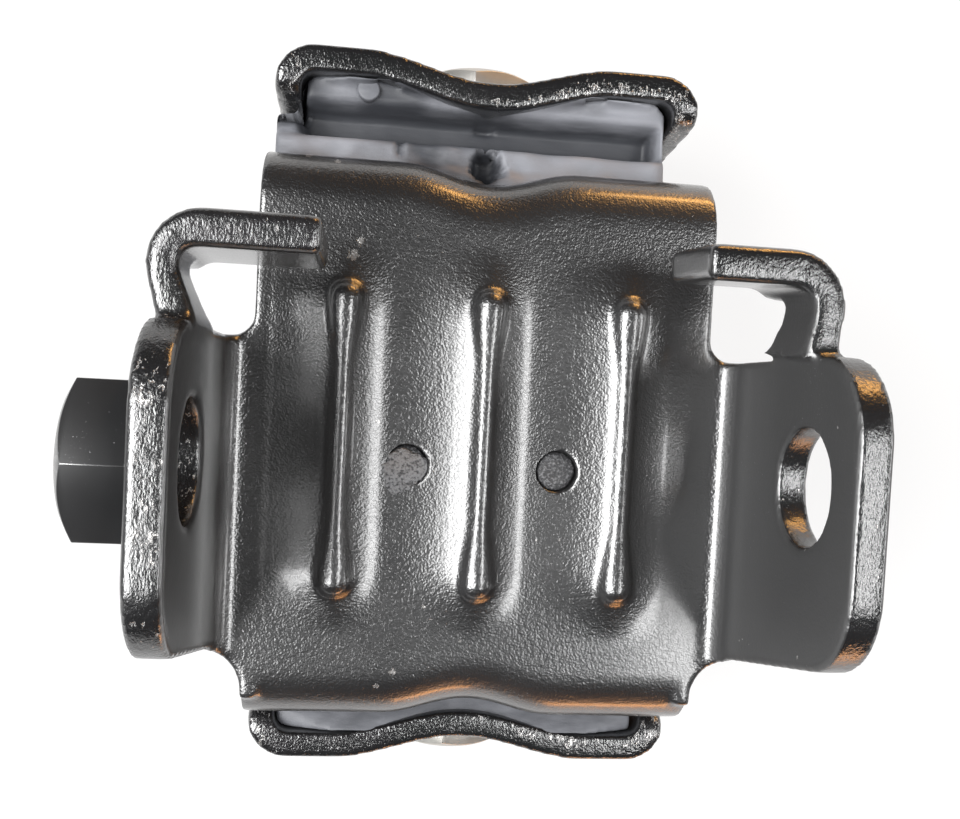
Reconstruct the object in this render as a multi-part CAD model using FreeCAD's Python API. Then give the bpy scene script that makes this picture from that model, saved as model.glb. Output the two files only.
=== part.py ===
"""Clamshell engine mount: a stamped steel ear bracket, a bonded rubber block and a stamped outer shell.

Frame (mm): the origin is the middle of the outer shell's flat back face, +Z points from the back
towards the bolt ears, +Y towards the hooks, and X runs along the bolt axis.
"""
import FreeCAD, Part
import math
import os

V = FreeCAD.Vector

# ---- sizes that drive the mount ----
EAR_SHEET = 4.2          # sheet of the ear bracket
SHELL_SHEET = 3.8        # sheet of the outer shell
EAR_GAP = 69.3           # clear width between the two ears
BOLT_HOLE = 14.0         # hole for the M12 through bolt
BOLT_Z = 72.0            # bolt axis above the back face
BOLT_Y = -6.1            # bolt axis from the outer shell's middle
SHELL_WIDTH = 62.6       # outer shell along X
SHELL_HEIGHT = 103.3     # outer shell over its two flanges, along Y
SHELL_DEPTH = 37.5       # back face to the flanges' free edge
SHELL_BEND = 1.4         # inside radius between back wall and flange
SHELL_BACK_ROUND = 4.0   # outside radius of that bend
SHELL_CURL = 5.9         # outside radius by which each flange's ends curl in
CURL_REACH = 7.0         # curl's edge below the flange's face, at the free edge
CURL_GROWTH = 2.6        # further reach of that edge at the back
CURL_CORNER = 3.5        # rounded corner between curl's edge and free edge
CURL_SWEEP = 14.0        # hollow sweep from the curl's edge into the rim
SHELL_RIM = 8.5          # low rim along the sides of the back wall
SHELL_DIP = 3.4          # depth of the valley along the middle of each flange
SHELL_DIP_SPAN = 38.0    # width over which that valley rises to full height

WEB_Z = 48.0             # front plane of the bracket's web
WEB_Y = -4.2             # middle of the web
WEB_WIDTH = 62.7         # web along X, beside the ears
WEB_HEIGHT = 78.5        # web over its two rolled ends
ROLL_RADIUS = 8.0        # outside radius of each rolled end
ROLL_DEPTH = 14.0        # web's front plane to the roll's free edge
ROLL_DIP = 2.3           # depth of the dip in the middle of each rolled end
ROLL_DIP_SPAN = 25.0
EAR_BEND = 2.6           # inside radius between web and ear

EAR_REACH = 13.0         # bolt axis to the ear's free edge
EAR_TOP = 15.2           # bolt axis up to the ear's shoulder
EAR_TOP_CORNER = 9.7
EAR_LOW = 21.45          # bolt axis down to the ear's lower edge, in line with the axis
EAR_LOW_SLOPE = 12.2     # degrees by which that edge falls towards the web
EAR_LOW_CORNER = 10.0
EAR_LOW_FILLET = 6.0     # hollow corner between ear and web, below
EAR_TOP_FILLET = 3.0     # hollow corner between ear and web, above

HOOK_FRONT = 1.8         # hook's near edge, in front of the bolt axis
HOOK_BACK = 7.0          # arm's far edge, behind the bolt axis
HOOK_BAR_BACK = 13.3     # bar's far edge, behind the bolt axis
HOOK_TOP = 27.3          # bolt axis up to the top of the hook's bar
HOOK_TIP = 21.6          # half the gap between the two hook tips
HOOK_ROOT_FILLET = 6.5
# the two hooks are bent by hand tools and differ: x of the arm's outer face at its foot, how far
# it leans out over its height, outside radius of the curl, rise of the bar's far edge
LEFT_HOOK = (38.6, 3.2, 6.0, 0.0)
RIGHT_HOOK = (37.4, 1.6, 6.6, 1.1)

BEAD_PITCH = 19.3        # between the web's three stiffening beads
BEAD_TOP = 23.2          # bolt axis up to the beads' top ends
BEAD_BOTTOM = 19.2       # bolt axis down to their bottom ends
BEAD_WIDTH = 12.0        # broad ridge
BEAD_HEIGHT = 2.4
CREST_RADIUS = 1.25      # narrow crest along the ridge
CREST_BALL = 2.3         # ball end of the crest
CREST_TAPER = 9.0        # length over which the ball runs out into the crest

PLUG_PITCH = 20.6        # between the web's two rubber filled holes
PLUG_DIAMETER = 5.6
PLUG_DROP = 1.1          # below the bolt axis

NUT_FLATS = 17.0
NUT_THREAD_CORE = 10.4   # core of the M12 thread
EAR_NUT_HEIGHT = 7.8
FLANGE_NUT_FLATS = 18.0
FLANGE_NUT_HEIGHT = 5.9
FLANGE_NUT_TURN = 8.0    # degrees, as welded
NUT_CROWN = 0.92         # round land of a nut's free end, as a share of its flats
THREAD_MOUTH = 1.2       # countersink at a thread's mouth
FLANGE_NUT_Z = 14.5      # middle of the flange nuts above the back face
FLANGE_HOLE = 12.5       # hole in each flange, under its nut
BOLT_ROOM = 8.0          # room in the rubber for the end of a flange bolt
SEAT_RISE = 0.8          # coined nut seat above the valley's floor
SEAT_RADIUS = 10.6

RUBBER_WIDTH = 59.8
RUBBER_SHIFT = -1.2      # block sits off the middle, towards the ear nut
RUBBER_WAIST = 3.0       # hollow of the rubber's free sides
RUBBER_SET_BACK = 3.0    # flange's free edge to the rubber's front
RUBBER_LIP = 1.0         # rubber's lips along the steel stand out by this
RUBBER_BROW = 0.35       # setback of the upper front face, as a share of the upper gap
RUBBER_SILL = 0.42       # height of that face's lower end above the web, as a share of the gap
RUBBER_LIP_DROP = 0.2    # depth of the upper lip, as a share of the gap
POCKET_DEPTH = 8.0       # moulded pocket in the rubber's upper front
POCKET_HEIGHT = 4.8
POCKET_END_GAP = 4.2     # pocket's end to the rubber's side
PLUG_RECESS = 0.15       # plugs end just under the web's surface

# ---- places worked out from them ----
FLANGE_INSIDE = SHELL_HEIGHT / 2 - SHELL_SHEET
WEB_BACK = WEB_Z - EAR_SHEET
WEB_TOP = WEB_Y + WEB_HEIGHT / 2
WEB_BOTTOM = WEB_Y - WEB_HEIGHT / 2
EAR_INSIDE = EAR_GAP / 2
EAR_OUTSIDE = EAR_INSIDE + EAR_SHEET
HALF_WIDTH = WEB_WIDTH / 2
HALF_SHELL = SHELL_WIDTH / 2
RUBBER_FRONT = SHELL_DEPTH - RUBBER_SET_BACK


# ---- helpers ----
def yz(x):
    """Places an outline drawn as (y, z) at a given x."""
    return lambda y, z: V(x, y, z)


def xz(y):
    return lambda x, z: V(x, y, z)


def xy(z):
    return lambda x, y: V(x, y, z)


def outline(corners, place):
    """Closed wire through corners (u, v, radius), each rounded by its own radius."""
    stretches = []
    for index, (u, v, radius) in enumerate(corners):
        here = V(u, v, 0)
        before = V(*corners[index - 1][:2], 0) - here
        after = V(*corners[(index + 1) % len(corners)][:2], 0) - here
        before.normalize()
        after.normalize()
        half = before.getAngle(after) / 2
        setback = radius / math.tan(half)
        middle = (before + after).normalize() * (radius / math.sin(half) - radius)
        stretches.append((here + before * setback, here + middle, here + after * setback, radius))
    edges = []
    for index, (start, middle, end, radius) in enumerate(stretches):
        if radius > 0:
            edges.append(Part.Arc(place(start.x, start.y), place(middle.x, middle.y),
                                  place(end.x, end.y)).toShape())
        following = stretches[(index + 1) % len(stretches)][0]
        if (following - end).Length > 1e-6:
            edges.append(Part.makeLine(place(end.x, end.y), place(following.x, following.y)))
    return Part.Wire(edges)


def prism(corners, place, travel):
    return Part.Face(outline(corners, place)).extrude(travel)


def cylinder(radius, start, end):
    axis = end - start
    return Part.makeCylinder(radius, axis.Length, start, axis)


def mirrored(shape):
    return shape.mirror(V(0, 0, 0), V(1, 0, 0))


def both_sides(shape):
    return [shape, mirrored(shape)]


def dip(x, depth, span):
    """Smooth valley across X: full depth in the middle, level beyond half the span."""
    if abs(x) >= span / 2:
        return 0.0
    return depth * (1 + math.cos(2 * math.pi * x / span)) / 2


def wavy_strip(section, depth, span, half_width):
    """Sheet end whose section (a function of x and its own dip) follows a valley in the middle."""
    steps = 12
    stations = [span * (step / steps - 0.5) for step in range(steps + 1)]
    valley = Part.makeLoft([section(x, dip(x, depth, span)) for x in stations], True, False)
    flat = Part.Face(section(span / 2, 0)).extrude(V(half_width - span / 2, 0, 0))
    return valley.fuse(both_sides(flat))


# ---- ear bracket ----
def rolled_end(side):
    """One end of the web, rolled back through a quarter turn, with a dip in its middle."""
    far = WEB_HEIGHT / 2
    start = far - ROLL_RADIUS - ROLL_DIP - 2

    def section(x, drop):
        top = far - drop
        corners = [(start, WEB_Z, 0), (top, WEB_Z, ROLL_RADIUS), (top, WEB_Z - ROLL_DEPTH, 0),
                   (top - EAR_SHEET, WEB_Z - ROLL_DEPTH, 0),
                   (top - EAR_SHEET, WEB_BACK, ROLL_RADIUS - EAR_SHEET), (start, WEB_BACK, 0)]
        return outline([(WEB_Y + side * y, z, r) for y, z, r in corners], yz(x))

    return wavy_strip(section, ROLL_DIP, ROLL_DIP_SPAN, HALF_WIDTH)


def ear_profile():
    """Side outline of the ear, from its free edge back to the web, as (y, z, radius)."""
    slope = math.tan(math.radians(EAR_LOW_SLOPE))
    low_front = BOLT_Y - EAR_LOW + slope * EAR_REACH
    low_back = BOLT_Y - EAR_LOW - slope * (BOLT_Z - WEB_BACK)
    front = BOLT_Z + EAR_REACH
    top = BOLT_Y + EAR_TOP
    return [(low_back, WEB_BACK, 0), (low_front, front, EAR_LOW_CORNER), (top, front, EAR_TOP_CORNER),
            (top, WEB_BACK, 0)]


def ear_and_bend():
    """Right ear with the bend that joins it to the web."""
    front = BOLT_Z + EAR_REACH
    bent = [(HALF_WIDTH - 2, WEB_BACK, 0), (EAR_OUTSIDE, WEB_BACK, EAR_BEND + EAR_SHEET),
            (EAR_OUTSIDE, front, 0), (EAR_INSIDE, front, 0), (EAR_INSIDE, WEB_Z, EAR_BEND),
            (HALF_WIDTH - 2, WEB_Z, 0)]
    channel = prism(bent, xz(WEB_BOTTOM), V(0, WEB_HEIGHT, 0))
    side_view = prism(ear_profile(), yz(HALF_WIDTH), V(EAR_OUTSIDE - HALF_WIDTH, 0, 0))
    return channel.common(side_view).fuse([channel.common(corner) for corner in hollow_corners()])


def hollow_corners():
    """Front views of the hollow corners between web and ear, above and below."""
    slope = math.tan(math.radians(EAR_LOW_SLOPE))
    top = BOLT_Y + EAR_TOP
    bottom = BOLT_Y - EAR_LOW - slope * (BOLT_Z - WEB_BACK)
    inner = HALF_WIDTH - 2
    depth = EAR_SHEET + EAR_BEND
    upper = [(inner, top + 2 * EAR_TOP_FILLET, 0), (HALF_WIDTH, top + 2 * EAR_TOP_FILLET, 0),
             (HALF_WIDTH, top, EAR_TOP_FILLET), (EAR_OUTSIDE, top, 0), (EAR_OUTSIDE, BOLT_Y, 0),
             (inner, BOLT_Y, 0)]
    lower = [(inner, BOLT_Y, 0), (EAR_OUTSIDE, BOLT_Y, 0), (EAR_OUTSIDE, bottom, 0),
             (HALF_WIDTH, bottom, EAR_LOW_FILLET), (HALF_WIDTH, bottom - EAR_LOW_FILLET - 1, 0),
             (inner, bottom - EAR_LOW_FILLET - 1, 0)]
    return [prism(upper, xy(WEB_BACK), V(0, 0, depth)),
            prism(lower, xy(WEB_BACK), V(0, slope * depth, depth))]


def hook(foot, lean, bend, rise):
    """Right hook: an arm that rises from the ear's shoulder and curls in over the web."""
    top = BOLT_Y + HOOK_TOP
    under = top - EAR_SHEET
    shoulder = BOLT_Y + EAR_TOP - 0.3
    band = [(foot, shoulder, 0), (foot + lean, top, bend), (HOOK_TIP, top, 0.8), (HOOK_TIP, under, 0.8),
            (foot + lean - EAR_SHEET, under, bend - EAR_SHEET), (foot - EAR_SHEET, shoulder, 0)]
    front = BOLT_Z + HOOK_FRONT
    arm_far = BOLT_Z - HOOK_BACK
    bar_far = BOLT_Z - HOOK_BAR_BACK
    root = WEB_Z + EAR_BEND
    ear_top = BOLT_Y + EAR_TOP
    lift = rise / HOOK_BAR_BACK
    curl = prism(band, xy(front), V(0, lift * (front - root), root - front))
    side_view = [(shoulder, front, 0), (top, front, 0), (top + rise, bar_far, 0), (under + rise - 1, bar_far, 1.0),
                 (under - 1, arm_far, 0), (ear_top, arm_far, HOOK_ROOT_FILLET), (ear_top, root, 0),
                 (shoulder, root, 0)]
    return curl.common(prism(side_view, yz(HOOK_TIP), V(foot + lean, 0, 0)))


def bead(x, lift):
    """Stiffening bead on the web: a broad ridge with a narrow crest and ball ends."""
    low = BOLT_Y - BEAD_BOTTOM + CREST_BALL
    high = BOLT_Y + BEAD_TOP - CREST_BALL
    base = WEB_Z + lift
    half = BEAD_WIDTH / 2
    ridge_radius = (half ** 2 + BEAD_HEIGHT ** 2) / (2 * BEAD_HEIGHT)
    rim_a, crown, rim_b = V(x - half, low, base), V(x, low, base + BEAD_HEIGHT), V(x + half, low, base)
    ridge = Part.Face(Part.Wire([Part.Arc(rim_a, crown, rim_b).toShape(), Part.makeLine(rim_b, rim_a)]))
    ridge = ridge.extrude(V(0, high - low, 0))
    cap = Part.makeSphere(ridge_radius, V(0, 0, base + BEAD_HEIGHT - ridge_radius))
    cap = cap.common(Part.makeBox(2 * half, 2 * half, BEAD_HEIGHT + 1, V(-half, -half, base)))
    ends = [cap.translated(V(x, y, 0)) for y in (low, high)]
    return ridge.fuse(ends)


def crest(x):
    """Crest turned about the bead's own axis: a thin rod that swells into a ball at each end."""
    low = BOLT_Y - BEAD_BOTTOM + CREST_BALL
    high = BOLT_Y + BEAD_TOP - CREST_BALL
    lean = math.asin((CREST_BALL - CREST_RADIUS) / CREST_TAPER)
    touch = CREST_BALL * math.sin(lean), CREST_BALL * math.cos(lean)
    pole = CREST_BALL / math.sqrt(2)
    axis_z = WEB_Z + BEAD_HEIGHT - 0.4 * CREST_RADIUS

    def at(y, radius):
        return V(x, y, axis_z + radius)

    half_section = [Part.Arc(at(low - CREST_BALL, 0), at(low - pole, pole),
                             at(low + touch[0], touch[1])).toShape(),
                    Part.makeLine(at(low + touch[0], touch[1]), at(low + CREST_TAPER, CREST_RADIUS)),
                    Part.makeLine(at(low + CREST_TAPER, CREST_RADIUS), at(high - CREST_TAPER, CREST_RADIUS)),
                    Part.makeLine(at(high - CREST_TAPER, CREST_RADIUS), at(high - touch[0], touch[1])),
                    Part.Arc(at(high - touch[0], touch[1]), at(high + pole, pole),
                             at(high + CREST_BALL, 0)).toShape(),
                    Part.makeLine(at(high + CREST_BALL, 0), at(low - CREST_BALL, 0))]
    rod = Part.Face(Part.Wire(half_section)).revolve(V(x, 0, axis_z), V(0, 1, 0), 360)
    return rod


def bead_places():
    return [-BEAD_PITCH, 0.0, BEAD_PITCH]


def plug_places():
    return [V(side * PLUG_PITCH / 2, BOLT_Y - PLUG_DROP, 0) for side in (-1, 1)]


def ear_bracket():
    reach = WEB_HEIGHT / 2 - ROLL_RADIUS - ROLL_DIP - 2
    web = Part.makeBox(WEB_WIDTH, 2 * reach, EAR_SHEET, V(-HALF_WIDTH, WEB_Y - reach, WEB_BACK))
    body = web.fuse([rolled_end(1), rolled_end(-1)] + both_sides(ear_and_bend())
                    + [hook(*RIGHT_HOOK), mirrored(hook(*LEFT_HOOK))])
    body = body.fuse([bead(x, 0) for x in bead_places()] + [crest(x) for x in bead_places()])
    body = body.cut([bead(x, -EAR_SHEET) for x in bead_places()])
    span = EAR_OUTSIDE + 1
    body = body.cut(cylinder(BOLT_HOLE / 2, V(-span, BOLT_Y, BOLT_Z), V(span, BOLT_Y, BOLT_Z)))
    holes = [cylinder(PLUG_DIAMETER / 2, p + V(0, 0, WEB_BACK - 1), p + V(0, 0, WEB_Z + 1))
             for p in plug_places()]
    return body.cut(holes).removeSplitter()


# ---- outer shell ----
def front_view(inset):
    """Closed outline of the shell from the front: a valley in each flange and curled ends."""
    half = HALF_SHELL - inset
    far = SHELL_HEIGHT / 2 - inset
    radius = SHELL_CURL - inset
    diagonal = radius * (1 - math.sqrt(0.5))
    steps = 12
    edges = []
    for side in (1, -1):
        stations = [side * SHELL_DIP_SPAN * (0.5 - step / steps) for step in range(steps + 1)]
        crest_points = [V(x, side * (far - dip(x, SHELL_DIP, SHELL_DIP_SPAN)), 0) for x in stations]
        valley = Part.BSplineCurve()
        valley.interpolate(crest_points, InitialTangent=V(-side, 0, 0), FinalTangent=V(-side, 0, 0))
        level = side * far
        rim = side * half
        corner = side * (half - radius)
        edges.append(Part.Arc(V(rim, level - side * radius, 0), V(rim - side * diagonal, level - side * diagonal, 0),
                              V(corner, level, 0)).toShape())
        edges.append(Part.makeLine(V(corner, level, 0), crest_points[0]))
        edges.append(valley.toShape())
        edges.append(Part.makeLine(crest_points[-1], V(-corner, level, 0)))
        edges.append(Part.Arc(V(-corner, level, 0), V(side * diagonal - rim, level - side * diagonal, 0),
                              V(-rim, level - side * radius, 0)).toShape())
        edges.append(Part.makeLine(V(-rim, level - side * radius, 0), V(-rim, side * radius - level, 0)))
    return Part.Wire(edges)


def tray(inset, floor, bend):
    """Block with the shell's front view, rounded all round its back face."""
    block = Part.Face(front_view(inset)).extrude(V(0, 0, SHELL_DEPTH + 1))
    block.translate(V(0, 0, floor))
    back_edges = [edge for edge in block.Edges if edge.BoundBox.ZMax < floor + 0.01]
    return block.makeFillet(bend, back_edges)


def side_window():
    """Side view of what is left open between the curled ends, above the rim of the back wall."""
    edge = SHELL_HEIGHT / 2 - CURL_REACH
    beyond = SHELL_HEIGHT
    corners = [(edge - CURL_GROWTH, SHELL_RIM, CURL_SWEEP), (edge, SHELL_DEPTH, CURL_CORNER),
               (beyond, SHELL_DEPTH, 0), (beyond, beyond, 0)]
    return corners + [(-y, z, radius) for y, z, radius in reversed(corners)]


def valley_floor():
    return SHELL_HEIGHT / 2 - SHELL_DIP


def seat_height():
    """Outer face of the coined seat, from the shell's middle plane."""
    return valley_floor() + SEAT_RISE


def outer_shell():
    body = tray(0, 0, SHELL_BACK_ROUND).cut(tray(SHELL_SHEET, SHELL_SHEET, SHELL_BEND))
    for side in (1, -1):
        at = V(0, side * seat_height(), FLANGE_NUT_Z)
        pad = cylinder(SEAT_RADIUS - 1, at, at - V(0, side * (SHELL_SHEET / 2 + SEAT_RISE), 0))
        body = body.fuse(pad).cut(cylinder(SEAT_RADIUS, at, at + V(0, side * SHELL_DIP, 0)))
        body = body.cut(cylinder(FLANGE_HOLE / 2, at, at - V(0, side * 3 * SHELL_SHEET, 0)))
    window = prism(side_window(), yz(SHELL_DIP_SPAN / 2), V(SHELL_WIDTH, 0, 0))
    beyond = Part.makeBox(SHELL_WIDTH, 2 * SHELL_HEIGHT, SHELL_DEPTH, V(-HALF_SHELL, -SHELL_HEIGHT, SHELL_DEPTH))
    return body.cut(both_sides(window) + [beyond]).removeSplitter()


# ---- rubber block ----
def rubber_block(bracket, shell):
    """Rubber moulded between the two steel parts: it fills what they leave inside its own outline."""
    upper_gap = FLANGE_INSIDE - WEB_TOP
    brow = RUBBER_FRONT - RUBBER_BROW * upper_gap
    sill = WEB_TOP + RUBBER_SILL * upper_gap
    roll_edge = WEB_Z - ROLL_DEPTH
    lip = RUBBER_FRONT + RUBBER_LIP
    roll_inside = WEB_HEIGHT / 2 - EAR_SHEET
    under_dip = ROLL_DIP + 0.5
    section = [(-FLANGE_INSIDE, SHELL_SHEET, SHELL_BEND), (-FLANGE_INSIDE, lip, 0),
               (WEB_BOTTOM + under_dip, RUBBER_FRONT, 0), (WEB_BOTTOM + under_dip, roll_edge, 0),
               (WEB_Y - roll_inside, roll_edge, 0), (WEB_Y - roll_inside, WEB_BACK, 0),
               (WEB_Y + roll_inside, WEB_BACK, 0), (WEB_Y + roll_inside, roll_edge, 0),
               (WEB_TOP - under_dip, roll_edge, 0), (WEB_TOP - under_dip, lip, 0), (WEB_TOP, lip, 1.0),
               (sill, brow, 2.0), (FLANGE_INSIDE - RUBBER_LIP_DROP * upper_gap, brow, 1.5), (FLANGE_INSIDE, lip, 0),
               (FLANGE_INSIDE, SHELL_SHEET, SHELL_BEND)]
    half = RUBBER_WIDTH / 2
    block = prism(section, yz(-half), V(RUBBER_WIDTH, 0, 0))
    depth = WEB_BACK - SHELL_SHEET
    sweep = ((depth / 2) ** 2 + RUBBER_WAIST ** 2) / (2 * RUBBER_WAIST)
    hollow = cylinder(sweep, V(half - RUBBER_WAIST + sweep, -SHELL_HEIGHT, SHELL_SHEET + depth / 2),
                      V(half - RUBBER_WAIST + sweep, SHELL_HEIGHT, SHELL_SHEET + depth / 2))
    block = block.cut(both_sides(hollow)).cut(upper_pocket(sill, brow)).translated(V(RUBBER_SHIFT, 0, 0))
    block = block.fuse([bead(x, -EAR_SHEET) for x in bead_places()])
    plugs = [cylinder(PLUG_DIAMETER / 2, p + V(0, 0, WEB_BACK - 1), p + V(0, 0, WEB_Z - PLUG_RECESS))
             for p in plug_places()]
    block = block.fuse(plugs)
    bolt_ends = [cylinder(FLANGE_HOLE / 2, V(0, side * (valley_floor() - SHELL_SHEET - BOLT_ROOM), FLANGE_NUT_Z),
                          V(0, side * SHELL_HEIGHT, FLANGE_NUT_Z)) for side in (1, -1)]
    return block.cut(bolt_ends + [bracket, shell]).removeSplitter()


def upper_pocket(sill, brow):
    """Moulded pocket with round ends in the rubber's upper front face."""
    middle = sill + POCKET_HEIGHT / 2
    end = RUBBER_WIDTH / 2 - POCKET_END_GAP
    radius = POCKET_HEIGHT / 2 - 0.1
    corners = [(-end, middle - POCKET_HEIGHT / 2, radius), (end, middle - POCKET_HEIGHT / 2, radius),
               (end, middle + POCKET_HEIGHT / 2, radius), (-end, middle + POCKET_HEIGHT / 2, radius)]
    return prism(corners, xy(brow - POCKET_DEPTH), V(0, 0, POCKET_DEPTH + 2 * RUBBER_SET_BACK))


# ---- weld nuts ----
def weld_nut(flats, height):
    """Hexagon weld nut standing on z = 0, two corners along X, chamfered at its free end."""
    corner = flats / math.sqrt(3)
    points = [V(corner * math.cos(math.radians(60 * i)), corner * math.sin(math.radians(60 * i)), 0)
              for i in range(7)]
    blank = Part.Face(Part.makePolygon(points)).extrude(V(0, 0, height))
    land = NUT_CROWN * flats / 2
    rise = (corner - land) * math.tan(math.radians(30))
    cone = Part.makeCone(corner, land, rise, V(0, 0, height - rise))
    body = Part.makeCylinder(corner, height - rise).fuse(cone)
    core = NUT_THREAD_CORE / 2
    bore = Part.makeCylinder(core, height)
    mouth = Part.makeCone(core, core + THREAD_MOUTH, THREAD_MOUTH, V(0, 0, height - THREAD_MOUTH))
    return blank.common(body).cut([bore, mouth])


def ear_nut():
    nut = weld_nut(NUT_FLATS, EAR_NUT_HEIGHT)
    nut.rotate(V(0, 0, 0), V(0, 1, 0), -90)
    return nut.translated(V(-EAR_OUTSIDE, BOLT_Y, BOLT_Z))


def flange_nut(side):
    nut = weld_nut(FLANGE_NUT_FLATS, FLANGE_NUT_HEIGHT)
    nut.rotate(V(0, 0, 0), V(0, 0, 1), 90 - side * FLANGE_NUT_TURN)
    nut.rotate(V(0, 0, 0), V(1, 0, 0), -90 * side)
    return nut.translated(V(0, side * seat_height(), FLANGE_NUT_Z))


def main():
    os.makedirs("parts", exist_ok=True)
    bracket = ear_bracket()
    shell = outer_shell()
    pieces = {"ear_bracket": bracket, "outer_shell": shell, "rubber_block": rubber_block(bracket, shell),
              "ear_weld_nut": ear_nut(), "upper_flange_nut": flange_nut(1), "lower_flange_nut": flange_nut(-1)}
    for name, piece in pieces.items():
        piece.exportStep(f"parts/{name}.step")
        size = piece.BoundBox
        print(name, "solids", len(piece.Solids), "valid", piece.isValid(), "volume", round(piece.Volume),
              "x", round(size.XMin, 1), round(size.XMax, 1), "y", round(size.YMin, 1), round(size.YMax, 1),
              "z", round(size.ZMin, 1), round(size.ZMax, 1))


main()
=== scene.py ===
# %% [markdown]
# # A clamshell engine mount
# A mount of this kind holds an engine on rubber. A stamped bracket with two bolt ears and two
# hooks is bonded to a rubber block, and the block is bonded into a channel-shaped outer shell.
# The solids come as a fixed frame, in metres, lying on the flat back with the ears pointing up.
# The lesson gives every solid its real surface: rounded bends, rough cut edges, soft beads,
# moulding marks, orange-peel paint and dull blue-grey rubber.

# %% Load the frame
import math
import bpy
import bmesh
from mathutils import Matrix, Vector, noise


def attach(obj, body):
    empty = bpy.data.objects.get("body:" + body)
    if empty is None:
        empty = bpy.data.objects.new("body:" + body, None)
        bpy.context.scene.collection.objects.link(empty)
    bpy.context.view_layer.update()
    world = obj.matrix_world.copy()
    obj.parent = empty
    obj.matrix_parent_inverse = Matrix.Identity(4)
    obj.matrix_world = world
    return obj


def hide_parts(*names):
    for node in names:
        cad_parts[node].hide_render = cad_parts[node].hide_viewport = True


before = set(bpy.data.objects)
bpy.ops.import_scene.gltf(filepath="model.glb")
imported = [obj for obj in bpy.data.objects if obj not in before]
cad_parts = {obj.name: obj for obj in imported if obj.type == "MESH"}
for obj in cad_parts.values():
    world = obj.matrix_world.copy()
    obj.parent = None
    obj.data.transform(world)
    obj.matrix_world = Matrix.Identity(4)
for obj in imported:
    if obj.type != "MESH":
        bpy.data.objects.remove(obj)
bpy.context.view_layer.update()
MM = 0.001
print("nodes", sorted(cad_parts))

# %% [markdown]
# ## Camera, floor and lamps
# The mount lies on a white table and is looked at from straight above, a little left of its
# middle. The floor is plain and diffuse. It looks white because rays from the camera, and the
# ones that metal mirrors, meet a white colour there. Black paint shows little but its highlights,
# so the lamps are strong: a matte face that looks up renders at about twice its written colour.
# The colours below were chosen under these lamps and would look darker under plain ones.

# %% Camera
camera = bpy.data.objects.new("camera", bpy.data.cameras.new("camera"))
bpy.context.scene.collection.objects.link(camera)
camera.data.lens = 36.87
camera.data.sensor_width = 36
camera.data.shift_x = 0.0007
camera.data.shift_y = 0.0297
camera.data.clip_start = 0.005
camera.location = (-0.01592, 0.00241, 0.18134)
camera.rotation_euler = [math.radians(a) for a in (-2.669, -6.435, 2.970)]
bpy.context.scene.camera = camera
bpy.context.scene.view_settings.view_transform = "Standard"
print("camera at", tuple(camera.location))

# %% [markdown]
# ## A small language for shaders
# A finish is a sum of simple patterns. Written as nodes it is hard to read, so one class wraps a
# socket and lets Python's own signs add the Math nodes, and one method makes every other node.

# %% Sockets that add and multiply
class Pattern:
    """A socket that takes part in sums and products."""

    def __init__(self, finish, socket):
        self.finish, self.socket = finish, socket

    def math(self, operation, first, second):
        return self.finish.node("ShaderNodeMath", {"operation": operation}, {0: first, 1: second})

    def __add__(self, other):
        return self.math("ADD", self, other)

    __radd__ = __add__

    def __sub__(self, other):
        return self.math("SUBTRACT", self, other)

    def __rsub__(self, other):
        return self.math("SUBTRACT", other, self)

    def __mul__(self, other):
        return self.math("MULTIPLY", self, other)

    __rmul__ = __mul__

    def or_more(self, other):
        return self.math("MAXIMUM", self, other)


# %% A finish and its nodes
class Finish:
    """A material with one shader, its patterns in the object's own coordinates."""

    def __init__(self, name):
        self.material = bpy.data.materials.new(name)
        self.material.use_nodes = True
        self.tree = self.material.node_tree
        self.shader = self.tree.nodes["Principled BSDF"]
        self.place = self.node("ShaderNodeTexCoord", output="Object")

    def node(self, kind, settings=None, values=None, output=0):
        made = self.tree.nodes.new(kind)
        for key, value in (settings or {}).items():
            setattr(made, key, value)
        for key, value in (values or {}).items():
            self.fill(made.inputs[key], value)
        return Pattern(self, made.outputs[output])

    def fill(self, socket, value):
        if isinstance(value, Pattern):
            self.tree.links.new(value.socket, socket)
        else:
            socket.default_value = value

    def set(self, **values):
        for key, value in values.items():
            self.fill(self.shader.inputs[key.replace("_", " ")], value)

    def grain(self, size, detail=2.0, stretch=(1, 1, 1)):
        """Soft noise whose blotches are about this many metres across."""
        spot = self.node("ShaderNodeMapping", values={"Vector": self.place, "Scale": stretch})
        return self.node("ShaderNodeTexNoise", values={"Vector": spot, "Scale": 1 / size, "Detail": detail})

    def step(self, value, low, high):
        """0 below low, 1 above high, smooth between them."""
        return self.node("ShaderNodeMapRange", {"interpolation_type": "SMOOTHSTEP"},
                         {"Value": value, "From Min": low, "From Max": high})

    def mix(self, share, first, second):
        return self.node("ShaderNodeMix", {"data_type": "RGBA"}, {0: share, 6: first, 7: second}, output=2)

    def bump(self, height, depth, under=None):
        """Relief of this depth in metres, laid over another one."""
        values = {"Height": height, "Distance": depth, "Strength": 1.0}
        if under:
            values["Normal"] = under
        return self.node("ShaderNodeBump", values=values)

    def mark(self, name):
        """A measure stored on the mesh, such as how near a cut edge lies."""
        return self.node("ShaderNodeAttribute", {"attribute_name": name}, output="Fac")


print("shader language ready")

# %% Floor
def white_to_rays(finish):
    """Share of white shown to the camera and to mirroring rays."""
    def ray(kind):
        return finish.node("ShaderNodeLightPath", output=kind)
    return ray("Is Camera Ray").or_more(ray("Is Glossy Ray")).or_more(ray("Is Transmission Ray"))


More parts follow.
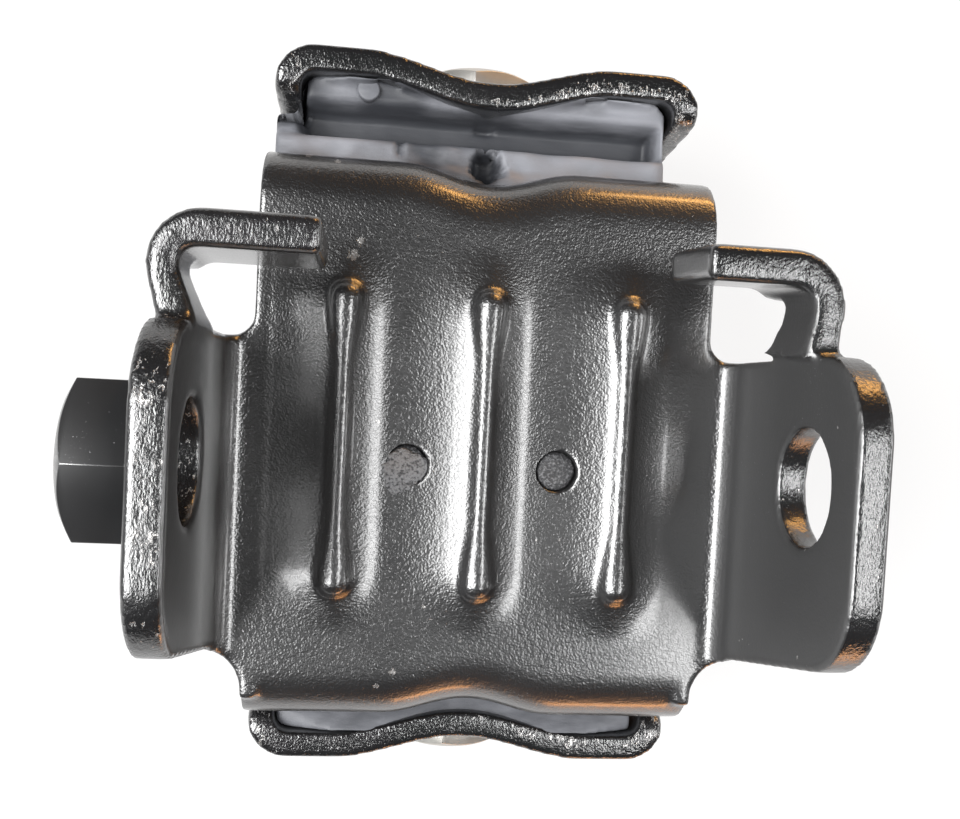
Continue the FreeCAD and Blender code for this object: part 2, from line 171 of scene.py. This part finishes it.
table_top = Finish("table_top")
table_top.set(Base_Color=(0.8, 0.8, 0.8, 1), Roughness=0.9)
glow = table_top.node("ShaderNodeEmission", values={"Color": (1, 1, 1, 1), "Strength": 1.0})
blend_in = table_top.node("ShaderNodeMixShader", values={0: white_to_rays(table_top) * 0.82, 2: glow})
table_top.tree.links.new(table_top.shader.outputs[0], blend_in.socket.node.inputs[1])
table_top.tree.links.new(blend_in.socket, table_top.tree.nodes["Material Output"].inputs[0])

bm = bmesh.new()
bmesh.ops.create_grid(bm, x_segments=1, y_segments=1, size=3)
floor_mesh = bpy.data.meshes.new("floor")
bm.to_mesh(floor_mesh)
bm.free()
floor_mesh.materials.append(table_top.material)
floor = bpy.data.objects.new("floor", floor_mesh)
bpy.context.scene.collection.objects.link(floor)
print("floor", floor.dimensions.x)

# %% World and lamps
world = bpy.data.worlds.new("studio")
bpy.context.scene.world = world
world.use_nodes = True
sky = world.node_tree.nodes["Background"]
sky.inputs["Color"].default_value = (0.62, 0.64, 0.68, 1)
sky.inputs["Strength"].default_value = 0.09
behind = world.node_tree.nodes.new("ShaderNodeBackground")
behind.inputs["Color"].default_value = (1, 1, 1, 1)
path = world.node_tree.nodes.new("ShaderNodeLightPath")
seen = world.node_tree.nodes.new("ShaderNodeMixShader")
for source, target in ((path.outputs["Is Camera Ray"], seen.inputs[0]), (sky.outputs[0], seen.inputs[1]),
                       (behind.outputs[0], seen.inputs[2]),
                       (seen.outputs[0], world.node_tree.nodes["World Output"].inputs[0])):
    world.node_tree.links.new(source, target)


LAMPS_AIM = Vector((0, 0, 0.05))


def lamp(name, place, size, power, colour=(1, 1, 1)):
    light = bpy.data.objects.new(name, bpy.data.lights.new(name, "AREA"))
    light.data.shape = "RECTANGLE"
    light.data.size, light.data.size_y = size
    light.data.energy = power
    light.data.color = colour
    light.location = place
    light.rotation_euler = (LAMPS_AIM - Vector(place)).to_track_quat("-Z", "Y").to_euler()
    bpy.context.scene.collection.objects.link(light)
    return light


lamp("window", (-0.34, -0.03, 0.46), (0.44, 0.30), 6.5)
lamp("ceiling", (0.27, -0.07, 0.55), (0.34, 0.12), 1.7)
lamp("right wall", (0.50, -0.02, 0.22), (0.30, 0.10), 0.8)
lamp("warm wall", (0.24, 0.48, 0.14), (0.24, 0.07), 1.0, (1.0, 0.50, 0.14))
lamp("warm table", (0.20, -0.50, 0.04), (0.30, 0.06), 0.5, (1.0, 0.42, 0.12))

# %% [markdown]
# ## A surface that can be worked
# The solids have sharp edges and long thin triangles, which can't be dented or softened. Each
# stamped or moulded solid is copied, its doubles are merged, and it is remeshed into an even net
# of small faces. Smoothing that net rounds the edges as rolling and painting do.

# %% An even net over a solid
def even_net(node, name, face, rounds, more=None):
    """Working bmesh of a CAD node: faces of one size, corners rounded by a few rounds of smoothing."""
    copy = bpy.data.objects.new(name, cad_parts[node].data.copy())
    bpy.context.scene.collection.objects.link(copy)
    bm = bmesh.new()
    bm.from_mesh(copy.data)
    if more:
        bm.from_mesh(more)
    bmesh.ops.remove_doubles(bm, verts=bm.verts, dist=1e-6)
    bm.to_mesh(copy.data)
    bm.free()
    remesh = copy.modifiers.new("even net", "REMESH")
    remesh.mode = "VOXEL"
    remesh.voxel_size = face
    evened = bpy.data.meshes.new_from_object(copy.evaluated_get(bpy.context.evaluated_depsgraph_get()))
    bpy.data.objects.remove(copy)
    bm = bmesh.new()
    bm.from_mesh(evened)
    bpy.data.meshes.remove(evened)
    for _ in range(rounds):
        bmesh.ops.smooth_vert(bm, verts=bm.verts, factor=0.5,
                              use_axis_x=True, use_axis_y=True, use_axis_z=True)
    bm.normal_update()
    print(name, "faces", len(bm.faces))
    return bm


def finished_piece(bm, name, finish, slot, *nodes):
    """Turns a worked bmesh into a piece that stands for its CAD nodes."""
    mesh = bpy.data.meshes.new(name)
    bm.to_mesh(mesh)
    bm.free()
    mesh.shade_smooth()
    mesh.materials.append(finish.material)
    piece = bpy.data.objects.new(name, mesh)
    bpy.context.scene.collection.objects.link(piece)
    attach(piece, "root")
    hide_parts(*nodes)
    print(name, "triangles", sum(len(face.vertices) - 2 for face in mesh.polygons))
    return piece


def ease(value, low, high):
    """0 below low, 1 above high, smooth between them."""
    share = min(1, max(0, (value - low) / (high - low)))
    return share * share * (3 - 2 * share)


# %% [markdown]
# ## Ear bracket
# The bracket is one pressing of thick sheet. Its web carries three stiffening beads: hollow
# swells, steep on the right and gentle on the left, with a narrow crest and round knobs. The beads
# could be separate rods laid on the web, but pressed metal flows into its neighbours, so the even
# net's own points are raised by the height that the press gives.

# %% Web with its beads
WEB_FRONT = 48.0 * MM
BEAD_MIDDLES = [-19.3 * MM, 0.0, 19.3 * MM]
BEAD_ENDS = (-25.3 * MM, 17.1 * MM)
SWELL_HEIGHT = 2.4 * MM
SWELL_LEFT = 12.5 * MM
SWELL_RIGHT = 6.6 * MM
KNOB = 2.3 * MM
ROD = 1.25 * MM
KNOB_RUN = 9.0 * MM
BEAD_RUN_OUT = (6 * MM, 5 * MM)


def swell(across, along):
    low, high = BEAD_ENDS
    half, hollow = (SWELL_RIGHT, 1.7) if across > 0 else (SWELL_LEFT, 2.2)
    if abs(across) >= half:
        return 0.0
    side = (1 - abs(across) / half) ** hollow
    outside, inside = BEAD_RUN_OUT
    lower_end = ease(along, low - outside, low + inside)
    return SWELL_HEIGHT * side * lower_end * ease(-along, -high - outside, inside - high)


def crest(across, along):
    """Height of the rod and its knobs, which falls away steeply beside them."""
    low, high = BEAD_ENDS[0] + KNOB, BEAD_ENDS[1] - KNOB
    near = min(along - low, high - along)
    if near < 0:
        radius, away = KNOB, math.hypot(near, across)
    else:
        radius, away = KNOB + (ROD - KNOB) * ease(near, 0, KNOB_RUN), abs(across)
    side = 0.9 * radius
    height = SWELL_HEIGHT - 0.2 * MM - 0.60 * radius + math.sqrt(radius * radius - min(away, side) ** 2)
    return height - max(0, away - side) * 2.06


def blended(first, second, soft):
    """The higher of two heights, with a hollow fillet where they meet."""
    near = max(soft - abs(first - second), 0) / soft
    return max(first, second) + near * near * soft / 4


def web_height(x, y):
    height = 0.0
    for middle in BEAD_MIDDLES:
        height = max(height, swell(x - middle, y))
        soft = 0.45 + 1.2 * ease(middle - x, 0, 1.6 * MM)
        height = blended(height, crest(x - middle, y), soft * MM)
    return height


def in_bead_field(point):
    return abs(point.co.x) < 29 * MM and -32 * MM < point.co.y < 23.5 * MM


bracket = even_net("ear_bracket", "bracket", 0.52 * MM, 3)
raised = 0
for point in bracket.verts:
    if in_bead_field(point) and 47.2 * MM < point.co.z < 54 * MM and point.normal.z > 0.15:
        point.co.z = WEB_FRONT + web_height(point.co.x, point.co.y)
        raised += 1
bead_points = [point for point in bracket.verts
               if in_bead_field(point) and point.co.z > WEB_FRONT + 0.15 * MM]
for _ in range(2):
    bmesh.ops.smooth_vert(bracket, verts=bead_points, factor=0.5, use_axis_z=True)
bracket.normal_update()
print("points on the web", raised)

# %% [markdown]
# A press shears the sheet, so the narrow faces all round it are torn and rough, while the wide
# faces stay smooth. Each point gets a mark that says how far it belongs to such a cut face. The
# mark moves the points a little here, and later it steers the paint.

# %% Torn cut faces of the bracket
cut_mark = bracket.verts.layers.float.new("cut")
tear_mark = bracket.verts.layers.float.new("tear")
peel_mark = bracket.verts.layers.float.new("peel")
thin_mark = bracket.verts.layers.float.new("thin")
chip_mark = bracket.verts.layers.float.new("chip")
CHIPS = [(-18.7, 20.6, 1.3), (-17.9, 22.6, 0.9), (-10.9, -35.6, 0.9),
         (-13.0, -37.7, 0.7), (-25.5, 34.4, 0.9), (-21.5, 33.6, 0.7)]


def chipped(x, y):
    """How near a place on the web lies to the middle of a chip."""
    return max(0, *(1.3 - math.hypot(x - across * MM, y - along * MM) / (size * MM)
                    for across, along, size in CHIPS))


for point in bracket.verts:
    x, y, z = point.co
    share, torn, peel = 0.0, 0.3, 1.0
    if abs(x) > 34.0 * MM and y < 9.6 * MM and z > 50 * MM:
        share = 1 - ease(abs(point.normal.x), 0.45, 0.8)
        torn = 0.75 if x < 0 else 0.4
        peel = 0.3
    elif z > 57 * MM:
        share = ease(abs(point.normal.z), 0.45, 0.8)
        torn = 0.35 + 0.5 * ease(x, -32 * MM, -22 * MM) * ease(-x, 15 * MM, 20 * MM)
        peel = 0.4
    elif abs(x) > 30.6 * MM and z < 50 * MM and not -33 * MM < y < 11 * MM:
        share = ease(abs(point.normal.x), 0.5, 0.85)
    elif z < 36 * MM:
        share = ease(-point.normal.z, 0.5, 0.85)
    point[cut_mark], point[tear_mark], point[peel_mark] = share, share * torn, peel
    if z > 40 * MM:
        point[chip_mark] = chipped(x, y)
    point[thin_mark] = ease(-point.normal.x, 0.5, 0.8) * ease(x, 31 * MM, 33 * MM)
    if share > 0.02:
        tear = noise.noise(point.co * 700) + 0.5 * noise.noise(point.co * 1700)
        point.co += point.normal * share * tear * 0.03 * MM
bracket.normal_update()
print("cut points", sum(point[cut_mark] > 0.5 for point in bracket.verts))

# %% [markdown]
# ## Black paint
# The steel parts are sprayed black, and the paint dries with a fine orange peel. It could be a
# flat dark colour with low roughness, but what shows it is black paint is how the lamps break up
# in the peel. So the relief is a noise about a quarter of a millimetre across, the gloss changes in
# clouds, and bare metal shows on the torn edges and in a few chips. The inside of the right ear
# has a thinner, duller coat. Each point's marks say where all this goes.

# %% Paint of the stamped parts
def black_paint(name, grit, gloss):
    paint = Finish(name)
    cut, tear, peel, thin = paint.mark("cut"), paint.mark("tear"), paint.mark("peel"), paint.mark("thin")
    clouds = paint.grain(14 * MM, 3)
    fine = paint.grain(grit, 0.5)
    wide = paint.grain(2.4 * grit, 1.0)
    torn = paint.grain(0.7 * MM, 4, (1, 0.45, 1))
    ragged = paint.grain(0.25 * MM, 3, (1, 0.5, 1))
    patches = paint.grain(5 * MM, 2)
    bare_on_cut = paint.step(torn * 0.5 + ragged * 0.4 + patches * 0.3 + tear * 0.16, 0.80, 0.86) * cut
    chip = paint.step(paint.grain(0.9 * MM, 5) + patches * 0.4, 0.985, 1.0)
    knocked = paint.step(paint.mark("chip") + (ragged - 0.5) * 1.2, 0.72, 0.8)
    bare = bare_on_cut.or_more(chip).or_more(knocked)
    # Light specks: partly dust and partly painted glints, standing for lamps caught in the orange peel.
    dust_and_painted_glints = paint.step(paint.grain(0.2 * MM, 2) + clouds * 0.3, 0.88, 0.93)
    shade = paint.mix(clouds, (0.004, 0.004, 0.0045, 1), (0.009, 0.009, 0.0095, 1))
    shade = paint.mix(dust_and_painted_glints * 0.6, shade, (0.30, 0.30, 0.31, 1))
    colour = paint.mix(bare, shade, (0.40, 0.39, 0.38, 1))
    relief = paint.bump((fine * 0.8 + wide * 0.9) * peel, 0.26 * grit)
    relief = paint.bump((torn + ragged * 0.6) * cut, 0.09 * MM, relief)
    relief = paint.bump(1 - bare, 0.05 * MM, relief)
    paint.set(Base_Color=colour, Metallic=bare * 0.85, Normal=relief, IOR=1.95,
              Coat_Weight=0.8 - (cut + thin) * 0.75, Coat_Roughness=0.16,
              Roughness=gloss + clouds * 0.12 + dust_and_painted_glints * 0.2 - cut * 0.08 + thin * 0.30)
    print(name, "nodes", len(paint.tree.nodes))
    return paint


bracket_paint = black_paint("bracket_paint", 0.27 * MM, 0.27)
finished_piece(bracket, "bracket", bracket_paint, "bracket_paint", "ear_bracket")

# %% [markdown]
# ## Outer shell
# The shell is drawn from sheet like a tray: a flat back, two tall flanges with a valley in each,
# and ends that curl in. Its free edge is sheared, so it is the roughest face of the whole mount.

# %% Where the rubber meets the steel, from the front
def flange_inside(x):
    """Inner face of the upper flange, which dips in the middle."""
    dip = 3.4 * (0.5 + 0.5 * math.cos(math.pi * min(1, abs(x) / (19 * MM))))
    return (47.85 - dip) * MM


def roll_outside(x):
    """Outer face of the web's upper roll, which dips too."""
    dip = 2.3 * (0.5 + 0.5 * math.cos(math.pi * min(1, abs(x) / (12.5 * MM))))
    return (35.05 - dip) * MM


print("gap in the middle", flange_inside(0) - roll_outside(0))

# %% Shell with its torn edge
shell = even_net("outer_shell", "shell", 0.54 * MM, 3)
cut_mark = shell.verts.layers.float.new("cut")
tear_mark = shell.verts.layers.float.new("tear")
peel_mark = shell.verts.layers.float.new("peel")
for point in shell.verts:
    x, y, z = point.co
    share = ease(point.normal.z, 0.45, 0.8) * ease(z, 35.5 * MM, 36.5 * MM)
    if abs(x) > 27 * MM and abs(y) < 50 * MM and 7 * MM < z:
        share = max(share, 1 - ease(abs(point.normal.x), 0.45, 0.8))
    inner_half = ease(flange_inside(x) + 2.2 * MM - abs(y), 0, 0.8 * MM)
    torn = 0.25 + inner_half * ease(x, -4 * MM, 2 * MM) * 0.9 + 0.55 * ease(-x, 23 * MM, 27 * MM)
    point[cut_mark], point[tear_mark], point[peel_mark] = share, share * min(torn, 1), 0.6
    if share > 0.02:
        tear = noise.noise(point.co * 600) + 0.5 * noise.noise(point.co * 1700)
        point.co += point.normal * share * tear * 0.02 * MM
shell.normal_update()
shell_paint = black_paint("shell_paint", 0.3 * MM, 0.22)
finished_piece(shell, "shell", shell_paint, "shell_paint", "outer_shell")

# %% [markdown]
# ## Rubber block
# The rubber is injected between the steel parts. It has soft hollow faces, a long recess, a small
# vent dimple, a fold, a torn spot over the web's roll and a raised lower lip. All of that is
# pressed or raised in the even net, because rubber has no hard edges. Only the round moulding pin
# and the film of flash beside a plug are crisp, so they are shapes of their own.

# %% Rubber between roll and flange
RUBBER_LEFT, RUBBER_RIGHT = -31.0 * MM, 27.8 * MM
fill = bmesh.new()
bmesh.ops.create_grid(fill, x_segments=60, y_segments=1, size=1)
for point in fill.verts:
    x = RUBBER_LEFT + (point.co.x + 1) / 2 * (RUBBER_RIGHT - RUBBER_LEFT)
    low, high = roll_outside(x) - 0.6 * MM, flange_inside(x) + 0.5 * MM
    if abs(x) > 24.5 * MM:
        high -= 1.5 * MM * ease(abs(x), 24.5 * MM, 28 * MM)
    if x < -27.5 * MM:
        high = 42.5 * MM
    point.co = (x, low + (point.co.y + 1) / 2 * (high - low), 18 * MM)
drawn = bmesh.ops.extrude_face_region(fill, geom=fill.faces[:])
front = [item for item in drawn["geom"] if isinstance(item, bmesh.types.BMVert)]
bmesh.ops.translate(fill, verts=front, vec=(0, 0, 16.5 * MM))
bmesh.ops.recalc_face_normals(fill, faces=fill.faces)
fill_mesh = bpy.data.meshes.new("rubber fill")
fill.to_mesh(fill_mesh)
fill.free()
print("rubber fill", len(fill_mesh.vertices))

# %% Rubber with its moulding marks
RECESS_LOW, RECESS_HIGH = 39.9 * MM, 44.4 * MM
rubber = even_net("rubber_block", "rubber", 0.54 * MM, 4, fill_mesh)


def spot(point, x, y, width, height):
    """1 in the middle of an oval on the front face, 0 from its rim outwards."""
    away = math.hypot((point.co.x - x * MM) / (width * MM), (point.co.y - y * MM) / (height * MM))
    return 1 - ease(away, 0.6, 1.1)


painted_light_and_bloom_mark = rubber.verts.layers.float.new("painted_light_and_bloom")
for point in rubber.verts:
    x, y, z = point.co
    point[painted_light_and_bloom_mark] = 0.45
    if y > roll_outside(x) - 1 * MM and point.normal.z > 0.1 and z > 30 * MM:
        ends = ease(x, -28.2 * MM, -26.0 * MM) * ease(-x, -27.6 * MM, -25.6 * MM)
        recess = ease(y, RECESS_LOW - 0.7 * MM, RECESS_LOW + 0.5 * MM)
        recess *= ease(-y, -RECESS_HIGH - 0.4 * MM, -RECESS_HIGH + 0.8 * MM)
        lift = noise.noise(point.co * 150) * 0.5 + noise.noise(point.co * 420) * 0.12
        lift -= 6.5 * recess * ends
        lift += (0.9 + 0.7 * noise.noise(point.co * 260)) * (1 - ease(y, RECESS_LOW - 1.2 * MM, RECESS_LOW))
        lift -= 9.0 * ease(-x, 26.6 * MM, 27.8 * MM) * ease(y, 41.0 * MM, 42.6 * MM)
        lift -= 1.2 * spot(point, 0.0, 43.9, 1.8, 1.0)
        lift -= 1.1 * spot(point, -12.9, 38.6, 0.7, 1.7)
        ragged = 1 + 0.45 * noise.noise(point.co * 1100)
        lift -= 5.0 * spot(point, -0.1, 36.6, 2.3 * ragged, 2.7 * ragged)
        # Painted shade darkens the recess, the hollow at the left end and the torn spot, and the rubber grows
        # darker towards the left, where the flange shades it. Painted light makes the lower lip lighter
        # towards both ends. The noise here is real bloom.
        left_hollow = ease(-x, 26.0 * MM, 27.0 * MM) * ease(y, 40.5 * MM, 42.0 * MM)
        painted_shade = max(recess * ends, left_hollow, spot(point, -0.1, 36.6, 2.6, 3.0))
        bloom_and_painted_left_shade = 0.35 + 0.5 * ease(x, -20 * MM, 14 * MM) + 0.5 * noise.noise(point.co * 130)
        painted_lip_light = 0.3 * ease(-y, -40.6 * MM, -39.6 * MM) * ease(abs(x + 3 * MM), 6 * MM, 16 * MM)
        point[painted_light_and_bloom_mark] = (1 - painted_shade) * bloom_and_painted_left_shade + painted_lip_light
        point.co.z += lift * MM
    elif 46 * MM < z and abs(y + 7.2 * MM) < 4 * MM:
        point.co.z += noise.noise(point.co * 900) * 0.16 * MM
    if z > 22 * MM and x > 24 * MM and y > 36 * MM:
        point.co.x -= 0.9 * MM * ease(x, 24 * MM, 28 * MM)
rubber.normal_update()

# %% Moulding pin and the flash beside a plug
pin = bmesh.ops.create_cone(rubber, segments=32, radius1=1.75 * MM, radius2=1.6 * MM, depth=2.4 * MM,
                            cap_ends=True)["verts"]
bmesh.ops.translate(rubber, verts=pin, vec=(-17.9 * MM, 46.4 * MM, 34.2 * MM))
for point in pin:
    point[painted_light_and_bloom_mark] = 0.5
rim = [edge for edge in rubber.edges
       if all(corner in pin for corner in edge.verts) and min(corner.co.z for corner in edge.verts) > 35 * MM]
bmesh.ops.bevel(rubber, geom=rim, offset=0.25 * MM, segments=2, profile=0.5, affect="EDGES", material=-1)



def around(angle, waves, seed):
    """Noise along a ring, which closes on itself."""
    return noise.noise(Vector((waves * math.cos(angle), waves * math.sin(angle), seed)))


flash = bmesh.ops.create_cone(rubber, segments=48, radius1=3.1 * MM, radius2=2.9 * MM, depth=0.14 * MM,
                              cap_ends=True)["verts"]
for point in flash:
    angle = math.atan2(point.co.y, point.co.x)
    reach = 1 + 0.30 * around(angle, 2.2, 0.4) + 0.08 * around(angle, 9, 3)
    point.co.x = point.co.x * reach - 10.9 * MM
    point.co.y = point.co.y * reach - 8.0 * MM
    point.co.z += 48.02 * MM
rubber.normal_update()
print("pin edges bevelled", len(rim), "flash points", len(flash))

# %% [markdown]
# Rubber is dull and slightly blue, with a whitish bloom in clouds and fine flow lines from the
# mould. Its colour is mixed from a shaded and a lit copy, so painted light lies on what stands out
# and painted shade in the hollows and towards the left. Its gloss is broad, so it looks lit rather than
# shiny.

# %% Rubber finish
blue_grey = Finish("rubber")
bloom = blue_grey.grain(6 * MM, 4)
flow = blue_grey.grain(1.6 * MM, 5, (0.35, 1.0, 1.0))
pores = blue_grey.grain(0.16 * MM, 2)
# Painted light and shade: the dark colour below is the rubber in shade and the light one the rubber lit. The
# share from the front face, bloom and flow lines mixes them.
painted_light_and_bloom = blue_grey.step(blue_grey.mark("painted_light_and_bloom") + (flow - 0.5) * 0.5 + (bloom - 0.5) * 0.4, 0.05, 1.0)
shade = blue_grey.mix(painted_light_and_bloom, (0.035, 0.037, 0.043, 1), (0.20, 0.205, 0.225, 1))
height = blue_grey.node("ShaderNodeSeparateXYZ", values={"Vector": blue_grey.place}, output="Z")
plug = blue_grey.step(height, 45 * MM, 46 * MM)
flash_film = blue_grey.step(height, 47.93 * MM, 47.98 * MM)
rough_grain = blue_grey.grain(0.35 * MM, 5)
plug_shade = blue_grey.mix(blue_grey.step(rough_grain, 0.45, 0.7),
                           (0.03, 0.03, 0.032, 1), (0.14, 0.14, 0.145, 1))
shade = blue_grey.mix(plug, shade, plug_shade)
shade = blue_grey.mix(flash_film * blue_grey.step(rough_grain, 0.3, 0.6), shade, (0.22, 0.22, 0.225, 1))
relief = blue_grey.bump(flow + rough_grain * plug * 2, 0.12 * MM)
relief = blue_grey.bump(pores, 0.02 * MM, relief)
blue_grey.set(Base_Color=shade, Roughness=0.46 + bloom * 0.18, Normal=relief)
finished_piece(rubber, "rubber", blue_grey, "rubber", "rubber_block")

# %% [markdown]
# ## Weld nuts
# Each nut is a machined hexagon, so its edges are crisp with a small break, not a cast round. The
# solid's triangles are merged and joined into flat faces, and a Bevel modifier breaks the edges.

# %% Nuts with broken edges
def broken_edge_nut(node, name, finish, slot):
    bm = bmesh.new()
    bm.from_mesh(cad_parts[node].data)
    bmesh.ops.remove_doubles(bm, verts=bm.verts, dist=1e-6)
    bmesh.ops.dissolve_limit(bm, angle_limit=math.radians(1), verts=bm.verts, edges=bm.edges)
    piece = finished_piece(bm, name, finish, slot, node)
    broken = piece.modifiers.new("broken edges", "BEVEL")
    broken.width = 0.22 * MM
    broken.segments = 2
    broken.angle_limit = math.radians(28)
    return piece


nut_paint = black_paint("ear_nut_paint", 0.25 * MM, 0.30)
broken_edge_nut("ear_weld_nut", "ear_nut", nut_paint, "ear_nut_paint")

# %% Plated steel of the flange nuts
plating = Finish("flange_nut_steel")
streaks = plating.grain(0.5 * MM, 4, (1, 0.15, 1))
stain = plating.grain(3 * MM, 4)
steel = plating.mix(stain, (0.42, 0.40, 0.36, 1), (0.66, 0.65, 0.62, 1))
plating.set(Base_Color=steel, Metallic=0.9, Roughness=0.30 + stain * 0.2,
            Normal=plating.bump(streaks, 0.03 * MM))
for side in ("upper", "lower"):
    broken_edge_nut(f"{side}_flange_nut", f"{side}_nut", plating, "flange_nut_steel")
